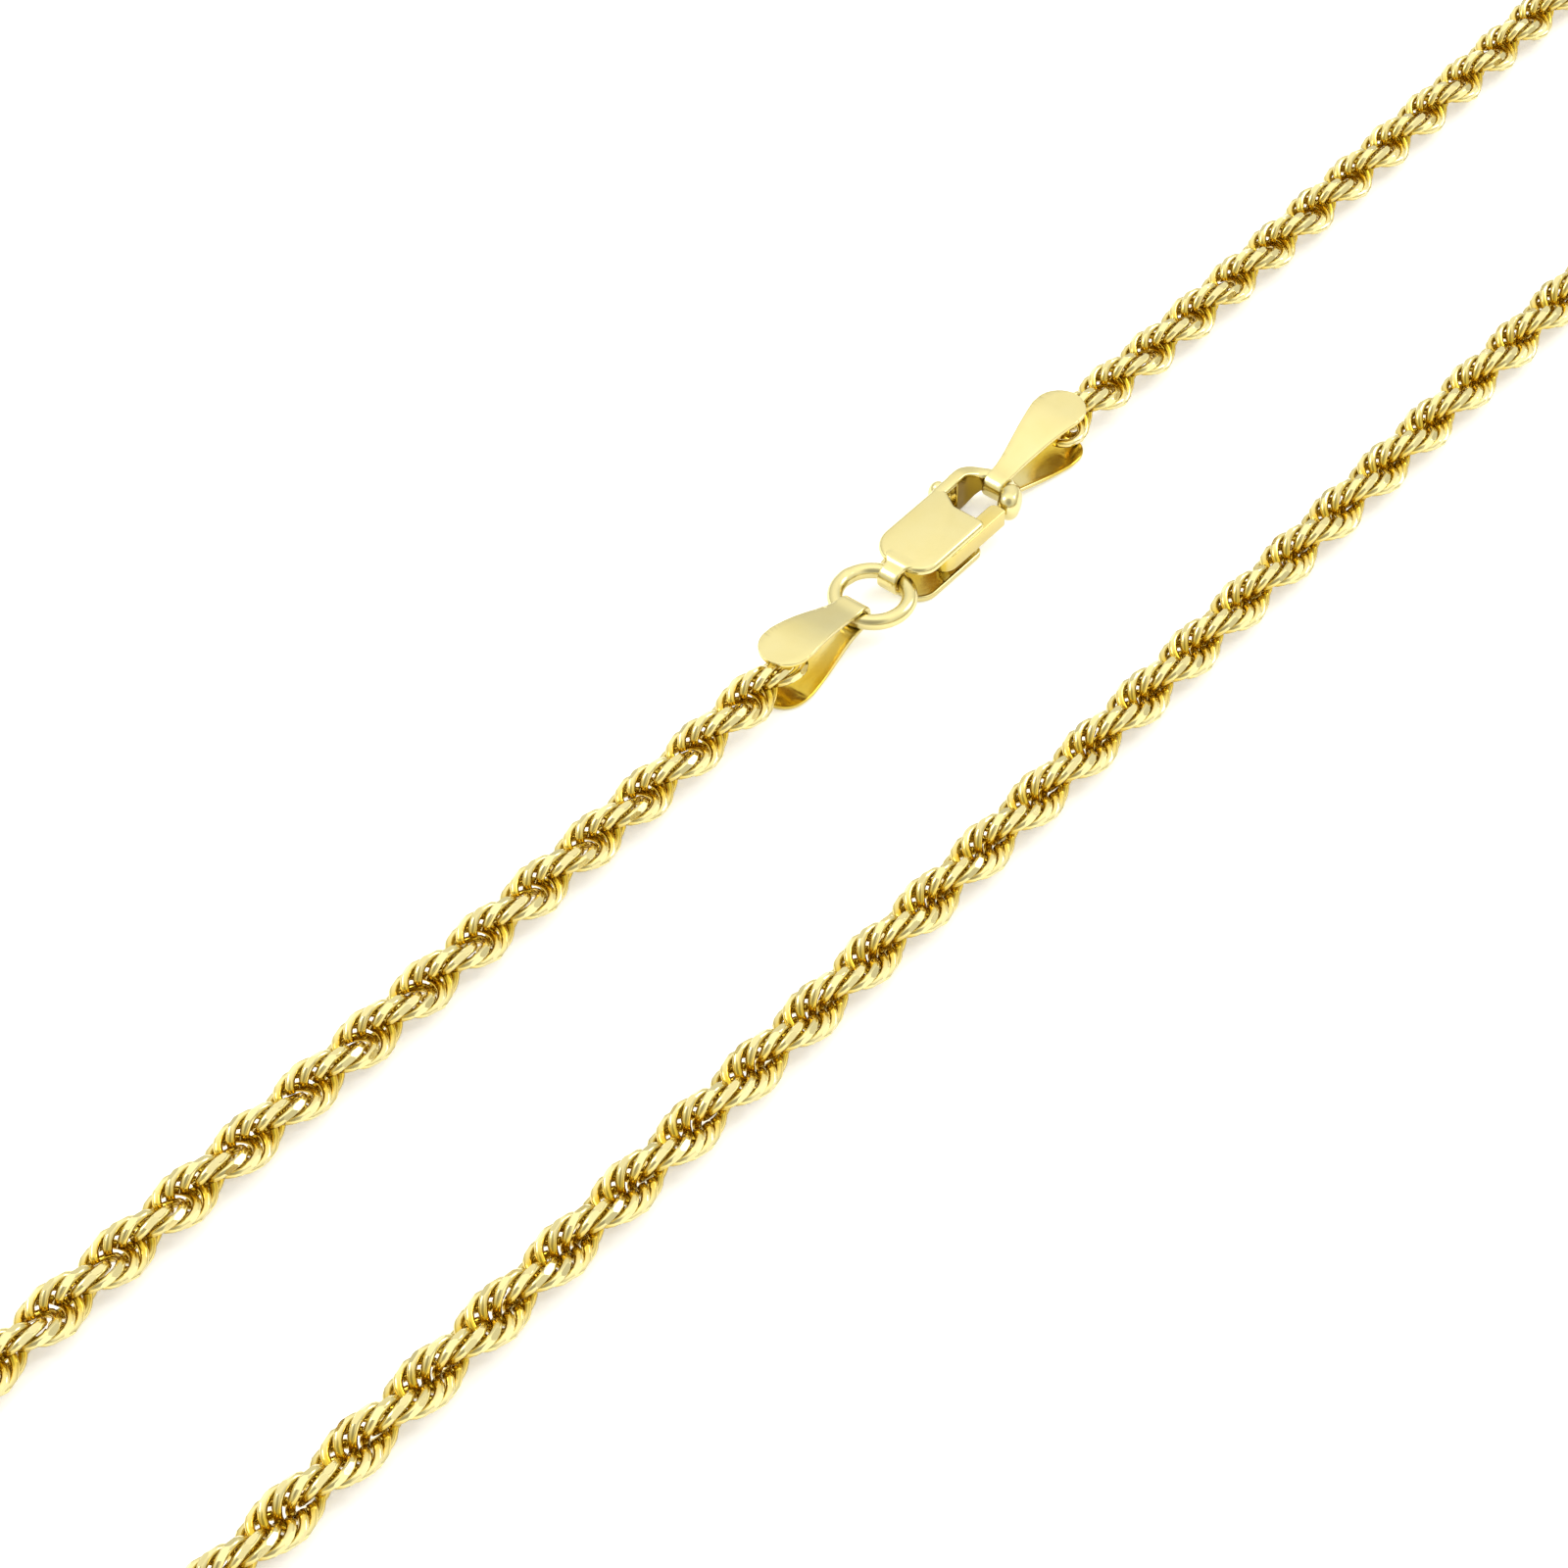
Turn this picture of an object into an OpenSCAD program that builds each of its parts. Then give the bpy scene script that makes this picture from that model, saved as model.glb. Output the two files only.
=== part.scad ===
// Rope chain necklace, fastened and lying flat on a table.
// X runs along the two strands, Y across the loop and Z up from the table.
// The clasp, the jump ring and the two end caps sit in the far strand.

/* [Chain] */
// Thickness of the rope chain
chain_d = 2.5; // [2:0.1:3]
// Distance between the middles of the two strands
strand_gap = 14.3; // [12:0.1:40]
// From the middle of the loop to the centre of each end turn
turn_x = 116; // [60:1:200]
// How far the chain goes into an end cap
chain_in = 2.15; // [1:0.05:2.6]
// Length over which the chain rises from the table to an end cap
chain_rise = 9; // [5:0.5:20]

/* [End caps] */
// Length of an end cap
cap_len = 7.1; // [6:0.1:9]
// Radius of an end cap's round wide end
cap_round_r = 1.35; // [1.2:0.05:1.6]
// Thickness of the folded sheet
cap_sheet = 0.25; // [0.15:0.01:0.35]
// Outer height of the fold
cap_fold_h = 1.5; // [1.4:0.05:1.8]
// Length of the straight neck behind the fold
cap_neck_len = 0.9; // [0.75:0.05:1.5]
// Length of the flat leaves that hold the chain
cap_flat_len = 2.7; // [2.6:0.1:3.5]
// Width of the fold that holds the jump ring
ring_fold_w = 1.4; // [0.8:0.05:1.6]
// Width of the fold that the clasp hooks into
hook_fold_w = 1.1; // [0.8:0.05:1.4]
// Gap between the chain and the leaves round it
chain_gap = 0.05; // [0.02:0.01:0.15]

/* [Jump ring] */
// Thickness of the ring's wire
ring_wire = 0.75; // [0.5:0.05:0.8]
// Radius of the ring's centre line
ring_r = 1.825; // [1.6:0.025:2.4]
// Gap between a fold and what it holds
seat_gap = 0.07; // [0.03:0.01:0.2]

/* [Clasp body] */
// Height of the clasp over both skins
clasp_h = 2.2; // [2.1:0.05:2.6]
// Thickness of each skin
skin_t = 0.35; // [0.25:0.05:0.45]
// Height of the middle of the folds, the ring and the hook
mid_h = 1.3; // [1.2:0.05:1.45]
// Where the shield starts, at the tail
shield_start = -3.6; // [-4:0.1:-3.2]
// Length of the shield
shield_len = 5.1; // [4.6:0.1:5.3]
// From the strand's middle to the shield's far side
shield_far = 1.87; // [1.7:0.01:2.1]
// From the strand's middle to the shield's near side
shield_near = 1.62; // [1.5:0.01:1.7]
// Corner radius on the far side of the tail end
far_corner_r = 1.48; // [0.6:0.02:1.6]
// Corner radius on the near side of the tail end
near_corner_r = 1.12; // [0.6:0.02:1.4]
// Corner radius on the near side of the gate end
gate_corner_r = 0.35; // [0.1:0.05:0.5]
// Width of the tail strap
tail_w = 1.05; // [0.8:0.05:1.3]
// Thickness of the tail strap
tail_sheet = 0.28; // [0.2:0.01:0.32]
// Outer height of the tail fold
tail_fold_h = 1.5; // [1.45:0.05:1.6]
// How far the tail fold stands out of the shield
tail_out = 0.9; // [0.8:0.05:1.3]

/* [Hook] */
// Centre of the hook's outer curve, along the strand
hook_x = 3.6; // [3.5:0.05:4]
// How far the inner curve's centre lies behind the outer one
hook_shift = 0.3; // [0:0.05:0.4]
// Radius of the hook's inner curve
hook_in_r = 1.2; // [1.1:0.05:1.3]
// Height of the hook's arm
hook_h = 0.84; // [0.6:0.02:0.86]
// Bevel along the edges of the hook's arm
hook_bevel = 0.26; // [0.2:0.01:0.3]
// Where the hook's arm has come down to its own height
hook_taper_x = 4.35; // [4.1:0.05:4.5]
// Radius of the nose
nose_r = 0.6; // [0.4:0.02:0.64]
// Height of the nose
nose_h = 1.1; // [0.9:0.05:1.3]
// Centre of the nose, along the strand
nose_x = 3.8; // [3.7:0.05:4]
// Centre of the nose, across the strand
nose_y = 1.27; // [1.2:0.01:1.35]

/* [Trigger] */
// Width of the gate bar
bar_w = 0.85; // [0.6:0.05:1]
// How far the gate bar stands out past the shield's near side
bar_proud = 0.08; // [0:0.01:0.15]
// From the pivot to the tip of the gate bar
bar_reach = 4.05; // [3.9:0.01:4.1]
// Pivot, along the strand
pivot_x = -0.9; // [-1.1:0.05:-0.8]
// Radius of the pivot pin
pin_r = 0.3; // [0.2:0.02:0.4]
// Radial running gap on the pin
pin_gap = 0.05; // [0.02:0.01:0.08]
// Radius of the round end at the pivot
boss_r = 0.9; // [0.7:0.05:1]
// Gap between the trigger and each skin
trigger_gap = 0.12; // [0.08:0.01:0.2]
// Gap between the bar's tip and the nose
tip_gap = 0.12; // [0.06:0.01:0.2]
// Radius of the thumb nub
nub_r = 0.4; // [0.3:0.02:0.45]
// Middle of the thumb nub, along the strand
nub_x = 2.45; // [2.4:0.01:2.5]
// How far the nub stands out of the clasp's far side
nub_out = 0.48; // [0.3:0.02:0.6]

/* [Hidden] */
$fn = 64;
cut = 0.01;
gold = [0.94, 0.84, 0.45];

// End caps: two leaves with the chain between them
cap_h = chain_d + 2 * (chain_gap + cap_sheet);
cap_axis_z = cap_h / 2;
cap_bend_r = cap_fold_h / 2;
cap_round_at = cap_len - cap_round_r;
cap_wedge_end = cap_len - cap_flat_len;

// Clasp: the shield's ends and sides, the window's corner and the hook's centres
shield_end = shield_start + shield_len;
window_y = 0.35 * hook_in_r;
window_slope = 0.55;
spine_start = shield_end + window_slope;
hook_in_x = hook_x - hook_shift;
hook_out_r = shield_far;
nub_y = shield_far + nub_out - nub_r;
block_x = nub_x + nub_r + tip_gap;
top_skin_z = clasp_h - skin_t;

// Tail fold and what hangs on it
tail_bend_r = tail_fold_h / 2;
tail_outer_x = shield_start - tail_out;
tail_bend_x = tail_outer_x + tail_bend_r;
tail_root_x = shield_start + tail_w / 2;
ring_in_r = ring_r - ring_wire / 2;
ring_x = tail_outer_x + tail_sheet + seat_gap - half_chord(ring_in_r, tail_w / 2);
ring_cap_x = ring_x - half_chord(ring_in_r, ring_fold_w / 2) + seat_gap + cap_sheet;
hook_cap_x = hook_in_x + half_chord(hook_in_r, hook_fold_w / 2) - seat_gap - cap_sheet;

// Trigger: pivot beside the bar, so the bar's outer side runs into the boss
bar_y = -shield_near - bar_proud;
pivot_y = bar_y + boss_r;
trigger_z = skin_t + trigger_gap;
trigger_h = clasp_h - 2 * trigger_z;

// The loop is centred across its width, with its lowest face on the table
loop_far = nub_y + nub_r;
loop_near = strand_gap + chain_d / 2;
loop_shift = (loop_near - loop_far) / 2;

// Distance from a circle's centre to its chord at half width h
function half_chord(r, h) = sqrt(r * r - h * h);

// Point where the line from p touches the circle of radius r round c, on one side or the other
function touch_point(p, c, r, side) =
    let (v = c - p, far = norm(v), a = atan2(v[1], v[0]) + side * asin(r / far), l = sqrt(far * far - r * r))
    p + l * [cos(a), sin(a)];

// Route of the chain: each stop is x, y, z and the heading
tube_sides = 8;
tube_r = chain_d / 2 / cos(180 / tube_sides);
turn_steps = 8;
turn_r = strand_gap / 2;
stop_pitch = 3 * chain_d;
low_z = chain_d / 2;
hook_mouth_x = hook_cap_x + cap_len;
ring_mouth_x = ring_cap_x - cap_len;

function steps(length) = ceil(length / stop_pitch);
function straight(x0, x1, y, heading) =
    let (n = steps(abs(x1 - x0)))
    [for (i = [0 : n - 1]) [x0 + (x1 - x0) * i / n, y, low_z, heading]];
function turn(x, side) =
    [for (i = [0 : turn_steps - 1])
        let (a = 180 * i / turn_steps)
        [x + side * turn_r * sin(a), -turn_r + side * turn_r * cos(a), low_z, 90 * (1 - side) - a]];

route = concat(
    [[hook_mouth_x - chain_in, 0, cap_axis_z, 0], [hook_mouth_x, 0, cap_axis_z, 0]],
    straight(hook_mouth_x + chain_rise, turn_x, 0, 0),
    turn(turn_x, 1),
    straight(turn_x, -turn_x, -strand_gap, 180),
    turn(-turn_x, -1),
    straight(-turn_x, ring_mouth_x - chain_rise, 0, 0),
    [[ring_mouth_x - chain_rise, 0, low_z, 0]],
    [[ring_mouth_x, 0, cap_axis_z, 0], [ring_mouth_x + chain_in, 0, cap_axis_z, 0]]
);

// Corners of the tube's section at one stop, flats facing the table
function tube_ring(p) =
    [for (k = [0 : tube_sides - 1])
        let (a = 360 * (k + 0.5) / tube_sides, side = tube_r * cos(a))
        [p[0] - side * sin(p[3]), p[1] + side * cos(p[3]), p[2] + tube_r * sin(a)]];

module rope_chain() {
    last = len(route) - 1;
    n = tube_sides;
    corners = [for (p = route) each tube_ring(p)];
    walls = [for (i = [0 : last - 1]) for (k = [0 : n - 1])
        let (a = i * n + k, b = i * n + (k + 1) % n)
        each [[a, b, b + n], [a, b + n, a + n]]];
    ends = [[for (k = [0 : n - 1]) n - 1 - k], [for (k = [0 : n - 1]) last * n + k]];
    color(gold) polyhedron(points = corners, faces = concat(walls, ends));
}

// Side view of a folded sheet, or of its hollow when the sheet is taken off: a round bend
// with a leg running from it to the points high and low
module fold_profile(bend, r, sheet, high, low, run) {
    inside = [0, sheet];
    translate(bend) circle(r = r - sheet);
    polygon([
        bend,
        touch_point(low + inside, bend, r - sheet, 1),
        low + inside,
        low + inside + [run, 0],
        high - inside + [run, 0],
        high - inside,
        touch_point(high - inside, bend, r - sheet, -1)
    ]);
}

// Plan of an end cap: strap, flare and round end
module cap_plan(fold_w) {
    touch = touch_point([cap_neck_len, fold_w / 2], [cap_round_at, 0], cap_round_r, 1);
    translate([cap_round_at, 0]) circle(r = cap_round_r);
    polygon([
        [-cut, -fold_w / 2],
        [cap_neck_len, -fold_w / 2],
        [touch[0], -touch[1]],
        [cap_round_at, 0],
        touch,
        [cap_neck_len, fold_w / 2],
        [-cut, fold_w / 2]
    ]);
}

// A folded end cap with its fold at the origin and its leaves along +X
module end_cap(fold_w) {
    bend = [cap_bend_r, mid_h];
    high = [cap_wedge_end, cap_h];
    low = [cap_wedge_end, 0];
    wide = 4 * cap_round_r;
    intersection() {
        rotate([90, 0, 0])
            linear_extrude(wide, center = true)
                difference() {
                    fold_profile(bend, cap_bend_r, 0, high, low, cap_flat_len);
                    fold_profile(bend, cap_bend_r, cap_sheet, high, low, cap_len);
                }
        translate([0, 0, -cap_h]) linear_extrude(3 * cap_h) cap_plan(fold_w);
    }
}

module ring_side_cap() {
    color(gold) translate([ring_cap_x, 0, 0]) mirror([1, 0, 0]) end_cap(ring_fold_w);
}

module hook_side_cap() {
    color(gold) translate([hook_cap_x, 0, 0]) end_cap(hook_fold_w);
}

module jump_ring() {
    color(gold)
        translate([ring_x, 0, mid_h])
            rotate_extrude() translate([ring_r, 0]) circle(d = ring_wire, $fn = 32);
}

// Plan of a skin: the shield with its three round corners, and the spine beside the window
module skin_plan() {
    translate([shield_start + far_corner_r, shield_far - far_corner_r]) circle(r = far_corner_r);
    translate([shield_start + near_corner_r, near_corner_r - shield_near]) circle(r = near_corner_r);
    translate([shield_end - gate_corner_r, gate_corner_r - shield_near]) circle(r = gate_corner_r);
    polygon([
        [shield_start, shield_far - far_corner_r],
        [shield_start, near_corner_r - shield_near],
        [shield_start + near_corner_r, -shield_near],
        [shield_end - gate_corner_r, -shield_near],
        [shield_end, gate_corner_r - shield_near],
        [shield_end, window_y],
        [spine_start, hook_in_r],
        [hook_in_x, hook_in_r],
        [hook_x, hook_out_r],
        [shield_start + far_corner_r, shield_far]
    ]);
}

// Tail strap: a fold with a leg running into each skin
module tail_strap() {
    bend = [tail_bend_x, mid_h];
    high = [tail_root_x, clasp_h];
    low = [tail_root_x, 0];
    rotate([90, 0, 0])
        linear_extrude(tail_w, center = true)
            difference() {
                fold_profile(bend, tail_bend_r, 0, high, low, 0);
                fold_profile(bend, tail_bend_r, tail_sheet, high, low, shield_len);
            }
}

// Plan of the hook as an uneven ring, with its straight root
module hook_plan() {
    polygon([
        [block_x, hook_in_r],
        [hook_in_x, hook_in_r],
        [hook_x, hook_out_r],
        [block_x, hook_out_r]
    ]);
    intersection() {
        difference() {
            translate([hook_x, 0]) circle(r = hook_out_r);
            translate([hook_in_x, 0]) circle(r = hook_in_r);
        }
        translate([hook_in_x, 0]) square([hook_taper_x - hook_in_x, hook_out_r + cut]);
    }
}

// The root of the hook comes down from the clasp's full height to the arm's
module hook_root() {
    intersection() {
        linear_extrude(clasp_h) hook_plan();
        rotate([90, 0, 0])
            linear_extrude(4 * hook_out_r, center = true)
                polygon([
                    [block_x, 0],
                    [hook_taper_x, mid_h - hook_h / 2],
                    [hook_taper_x, mid_h + hook_h / 2],
                    [block_x, clasp_h]
                ]);
    }
}

// Section of a disc whose rim is bevelled above and below
module disc_section(r, h) {
    polygon([
        [0, -h / 2],
        [r - hook_bevel, -h / 2],
        [r, hook_bevel - h / 2],
        [r, h / 2 - hook_bevel],
        [r - hook_bevel, h / 2],
        [0, h / 2]
    ]);
}

// Section of a wide washer whose inner edge is bevelled above and below
module washer_section(r, outer) {
    polygon([
        [r, hook_bevel - hook_h / 2],
        [r + hook_bevel, -hook_h / 2],
        [outer, -hook_h / 2],
        [outer, hook_h / 2],
        [r + hook_bevel, hook_h / 2],
        [r, hook_h / 2 - hook_bevel]
    ]);
}

// Far bend of the hook and its return to the nose, with bevelled edges
module hook_arm() {
    reach = 4 * hook_out_r;
    translate([0, 0, mid_h])
        intersection() {
            translate([hook_x, 0, 0]) rotate_extrude() disc_section(hook_out_r, hook_h);
            translate([hook_in_x, 0, 0]) rotate_extrude() washer_section(hook_in_r, reach);
            union() {
                translate([hook_taper_x - cut, -reach, -hook_h]) cube([reach, 2 * reach, 2 * hook_h]);
                translate([hook_in_x - reach, -2 * reach, -hook_h]) cube([2 * reach, 2 * reach, 2 * hook_h]);
            }
        }
}

// The arm and its round nose, cut back along the circle that the gate's tip runs on
module hook_end() {
    difference() {
        union() {
            hook_arm();
            translate([nose_x, -nose_y, mid_h]) rotate_extrude() disc_section(nose_r, nose_h);
        }
        translate([pivot_x, pivot_y, -cut]) cylinder(r = bar_reach + tip_gap, h = clasp_h + 2 * cut);
    }
}

module clasp_body() {
    color(gold) {
        linear_extrude(skin_t) skin_plan();
        translate([0, 0, top_skin_z]) linear_extrude(skin_t) skin_plan();
        translate([pivot_x, pivot_y, 0]) cylinder(r = pin_r, h = clasp_h);
        tail_strap();
        hook_root();
        hook_end();
    }
}

// Plan of the trigger: gate bar, round end, and the arm that carries the thumb nub
module trigger_plan() {
    arm_x = shield_end - skin_t / 2;
    inner_y = bar_y + bar_w;
    nub_back = nub_x - nub_r;
    translate([pivot_x, pivot_y]) circle(r = boss_r);
    intersection() {
        translate([pivot_x, bar_y]) square([2 * bar_reach, bar_w]);
        translate([pivot_x, pivot_y]) circle(r = bar_reach);
    }
    polygon([
        [pivot_x, inner_y],
        [arm_x, inner_y],
        [arm_x, window_y],
        [nub_x, hook_in_r + nub_r / 2],
        [nub_x, nub_y],
        [nub_back, nub_y],
        [nub_back - nub_r, hook_in_r],
        [pivot_x - boss_r / 2, pivot_y + boss_r / 2]
    ]);
    translate([nub_x, nub_y]) circle(r = nub_r);
}

module clasp_trigger() {
    color(gold)
        translate([0, 0, trigger_z])
            linear_extrude(trigger_h)
                difference() {
                    trigger_plan();
                    translate([pivot_x, pivot_y]) circle(r = pin_r + pin_gap);
                }
}

translate([0, loop_shift, 0]) {
    rope_chain();
    ring_side_cap();
    hook_side_cap();
    jump_ring();
    clasp_body();
    clasp_trigger();
}
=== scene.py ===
"""Looks of a gold rope chain necklace that lies fastened on a pale table.

The rope is about eight hundred open round links, each with two flats cut on either side. The
clasp, the jump ring and the end caps are modelled in the places of the frame's solids, with the
round edges that buffing leaves.
"""

import math

import bmesh
import bpy
import numpy as np
from bpy.props import FloatProperty, FloatVectorProperty, IntProperty, PointerProperty
from bpy.types import Operator, Panel, PropertyGroup
from mathutils import Matrix, Vector


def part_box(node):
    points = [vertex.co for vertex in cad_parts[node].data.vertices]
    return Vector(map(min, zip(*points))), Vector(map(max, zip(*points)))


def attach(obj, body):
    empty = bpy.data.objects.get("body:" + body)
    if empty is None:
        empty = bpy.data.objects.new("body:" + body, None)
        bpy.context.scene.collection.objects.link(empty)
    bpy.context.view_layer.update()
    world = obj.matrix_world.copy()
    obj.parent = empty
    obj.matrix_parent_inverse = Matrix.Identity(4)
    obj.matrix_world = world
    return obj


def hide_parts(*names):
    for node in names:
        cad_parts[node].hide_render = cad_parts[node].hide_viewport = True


bl_info = {
    "name": "Rope Chain Necklace",
    "version": (1, 0),
    "blender": (4, 5, 0),
    "location": "3D View > Sidebar > Necklace",
    "description": "Builds a diamond-cut rope chain with its clasp, ring and end caps",
    "category": "Add Mesh",
}

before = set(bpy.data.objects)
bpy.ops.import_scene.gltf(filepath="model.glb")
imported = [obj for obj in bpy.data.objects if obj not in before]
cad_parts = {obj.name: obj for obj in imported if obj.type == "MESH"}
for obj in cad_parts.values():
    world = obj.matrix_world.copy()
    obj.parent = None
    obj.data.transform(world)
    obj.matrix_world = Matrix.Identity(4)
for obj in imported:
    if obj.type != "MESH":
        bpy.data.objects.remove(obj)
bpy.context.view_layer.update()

MM = 0.001


def linear(hex_colour):
    """An sRGB hex colour as linear red, green and blue."""
    parts = [int(hex_colour[i : i + 2], 16) / 255 for i in (1, 3, 5)]
    return [c / 12.92 if c <= 0.04045 else ((c + 0.055) / 1.055) ** 2.4 for c in parts]


# Settings that a user would change


class RopeSettings(PropertyGroup):
    """Sizes of the rope and of one link."""

    width: FloatProperty(
        name="Rope width", description="Width of the cut rope over its flats",
        default=2.5 * MM, unit="LENGTH")
    wire: FloatProperty(
        name="Link wire", description="Thickness of a link's wire",
        default=0.44 * MM, unit="LENGTH")
    link_radius: FloatProperty(
        name="Link radius", description="Radius of a link's centre line",
        default=1.07 * MM, unit="LENGTH")
    opening: FloatProperty(
        name="Link opening", description="Half of the opening that the next links slip in through",
        default=math.radians(18), unit="ROTATION")
    pitch: FloatProperty(
        name="Link pitch", description="Distance along the rope from one link to the next",
        default=0.613 * MM, unit="LENGTH")
    twist: FloatProperty(
        name="Link twist", description="Turn from one link to the next, past a half turn",
        default=math.radians(29.31), unit="ROTATION")
    slack: FloatProperty(
        name="Slack", description="How much less a millimetre of the near strand is twisted",
        default=math.radians(4.77), unit="ROTATION")
    facet_tilt: FloatProperty(
        name="Facet tilt", description="How far a link's two cut flats lean away from each other",
        default=math.radians(18), unit="ROTATION")
    inside_cap: FloatProperty(
        name="Inside cap", description="How far the rope goes into an end cap",
        default=2.4 * MM, unit="LENGTH")
    rise: FloatProperty(
        name="Rise", description="Length over which the rope rises to an end cap",
        default=9 * MM, unit="LENGTH")
    pieces: IntProperty(
        name="Pieces", description="Joined meshes that the links are shared between",
        default=4, min=2, max=12)


class FindingSettings(PropertyGroup):
    """Sizes of the sheet and wire of the clasp, the jump ring and the end caps."""

    edge: FloatProperty(
        name="Sheet edge", description="Rounding that buffing leaves on the edge of folded sheet",
        default=0.07 * MM, unit="LENGTH", precision=6)
    cap_sheet: FloatProperty(
        name="Cap sheet", description="Thickness of the sheet of an end cap",
        default=0.25 * MM, unit="LENGTH", precision=5)
    cap_fold: FloatProperty(
        name="Cap fold", description="Outer height of the fold of an end cap",
        default=1.5 * MM, unit="LENGTH")
    fold_middle: FloatProperty(
        name="Fold middle", description="Height of the middle of the folds above the table",
        default=1.3 * MM, unit="LENGTH")
    ring_fold: FloatProperty(
        name="Ring side fold", description="Width of the fold that holds the jump ring",
        default=1.4 * MM, unit="LENGTH")
    hook_fold: FloatProperty(
        name="Hook side fold", description="Width of the fold that the clasp hooks into",
        default=1.1 * MM, unit="LENGTH")
    cap_round: FloatProperty(
        name="Cap end radius", description="Radius of the round wide end of a leaf",
        default=1.35 * MM, unit="LENGTH")
    cap_bend: FloatProperty(
        name="Cap bend", description="Length over which a leaf of an end cap bends, to each side",
        default=1.2 * MM, unit="LENGTH")
    cap_flat: FloatProperty(
        name="Cap flat", description="Length of the flat wide end of a leaf",
        default=2.7 * MM, unit="LENGTH")
    cap_dish: FloatProperty(
        name="Cap dish", description="How far the rim of a lower leaf turns up",
        default=0.12 * MM, unit="LENGTH", precision=5)
    ring_wire: FloatProperty(
        name="Ring wire", description="Thickness of the jump ring's wire",
        default=0.8 * MM, unit="LENGTH")
    skin: FloatProperty(
        name="Clasp skin", description="Thickness of each of the clasp's two skins",
        default=0.35 * MM, unit="LENGTH", precision=5)
    skin_dish: FloatProperty(
        name="Skin dish", description="Depth of the hollow in the clasp's lower skin",
        default=0.12 * MM, unit="LENGTH", precision=5)
    clasp_edge: FloatProperty(
        name="Clasp edge", description="Rounding of the edges of the clasp's top skin",
        default=0.25 * MM, unit="LENGTH", precision=5)
    tail_sheet: FloatProperty(
        name="Tail sheet", description="Thickness of the strap that the jump ring hangs in",
        default=0.28 * MM, unit="LENGTH", precision=5)
    tail_fold: FloatProperty(
        name="Tail fold", description="Outer height of the strap's fold",
        default=1.5 * MM, unit="LENGTH")
    tail_width: FloatProperty(
        name="Tail width", description="Width of the strap at its fold",
        default=1.05 * MM, unit="LENGTH")
    gate_height: FloatProperty(
        name="Gate height", description="Height of the gate bar's underside above the table",
        default=0.82 * MM, unit="LENGTH")
    rivet: FloatProperty(
        name="Rivet", description="Radius of the rivet that the trigger turns on",
        default=0.3 * MM, unit="LENGTH")
    nub: FloatProperty(
        name="Nub", description="Radius of the thumb nub",
        default=0.52 * MM, unit="LENGTH")


class GoldSettings(PropertyGroup):
    """Colours of the gold, with the painted amber shade and the painted shadow of its hollows."""

    polished: FloatVectorProperty(
        name="Polished gold", description="Colour of the polished clasp and caps",
        subtype="COLOR", size=3, default=linear("#DACF99"), min=0, max=1)
    polished_deep: FloatVectorProperty(
        name="Deep gold", description="Colour of the warmer cloudy patches of the polish",
        subtype="COLOR", size=3, default=linear("#D4C480"), min=0, max=1)
    cut: FloatVectorProperty(
        name="Cut gold", description="Colour of the bright cut links",
        subtype="COLOR", size=3, default=linear("#DFCF8C"), min=0, max=1)
    # Painted shade: amber for the light that reaches hollows of clasp and caps only after several
    # reflections
    amber: FloatVectorProperty(
        name="Amber gold", description="Colour of the unbuffed inner faces of clasp and caps",
        subtype="COLOR", size=3, default=linear("#CDB040"), min=0, max=1)
    # Painted shade: amber deep in the rope, where the links cross
    deep_amber: FloatVectorProperty(
        name="Deep amber", description="Colour of the links where they cross inside the rope",
        subtype="COLOR", size=3, default=linear("#CAAA32"), min=0, max=1)
    # Painted shadow on the hook's inner wall, where hardly any light comes
    shadow: FloatVectorProperty(
        name="Shadow gold", description="Colour of the hook's inner wall",
        subtype="COLOR", size=3, default=linear("#6E5210"), min=0, max=1)


class StudioSettings(PropertyGroup):
    """Light and floor of the stage."""

    key_power: FloatProperty(
        name="Key light", description="Power of the softbox beyond the necklace's left",
        default=0.5, unit="POWER")
    fill_power: FloatProperty(
        name="Fill light", description="Power of the softbox on the near right",
        default=0.3, unit="POWER")
    tent_low: FloatProperty(
        name="Tent near the table", description="Brightness of the white tent at its foot",
        default=0.75)
    tent_high: FloatProperty(
        name="Tent overhead", description="Brightness of the white tent overhead", default=1.7)
    lens_shade: FloatProperty(
        name="Lens shade", description="How much darker the tent is round the camera's opening",
        default=0.6, min=0, max=1, subtype="FACTOR")
    glow: FloatProperty(
        name="Table glow", description="Light that shines through the table from below",
        default=0.3)
    floor: FloatVectorProperty(
        name="Floor", description="Colour of the table",
        subtype="COLOR", size=3, default=linear("#FAFAF8"), min=0, max=1)


# Small helpers


def only(piece):
    """Selects this piece and nothing else."""
    bpy.ops.object.select_all(action="DESELECT")
    piece.select_set(True)
    bpy.context.view_layer.objects.active = piece


def edit(piece, *steps):
    """Runs the steps in edit mode with the whole piece selected."""
    only(piece)
    bpy.ops.object.mode_set(mode="EDIT")
    bpy.ops.mesh.select_all(action="SELECT")
    for step in steps:
        step()
    bpy.ops.object.mode_set(mode="OBJECT")


def apply_modifier(piece, name, kind, **settings):
    """Adds a modifier with its settings and applies it."""
    only(piece)
    modifier = piece.modifiers.new(name, kind)
    for key, value in settings.items():
        setattr(modifier, key, value)
    bpy.ops.object.modifier_apply(modifier=modifier.name)


def coordinates(piece):
    """Vertex places of a piece, a row for each vertex."""
    flat = np.empty(len(piece.data.vertices) * 3)
    piece.data.vertices.foreach_get("co", flat)
    return flat.reshape(-1, 3)


def place(piece, points):
    """Moves the vertices of a piece to these places."""
    piece.data.vertices.foreach_set("co", np.ascontiguousarray(points).ravel())
    piece.data.update()


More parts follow.
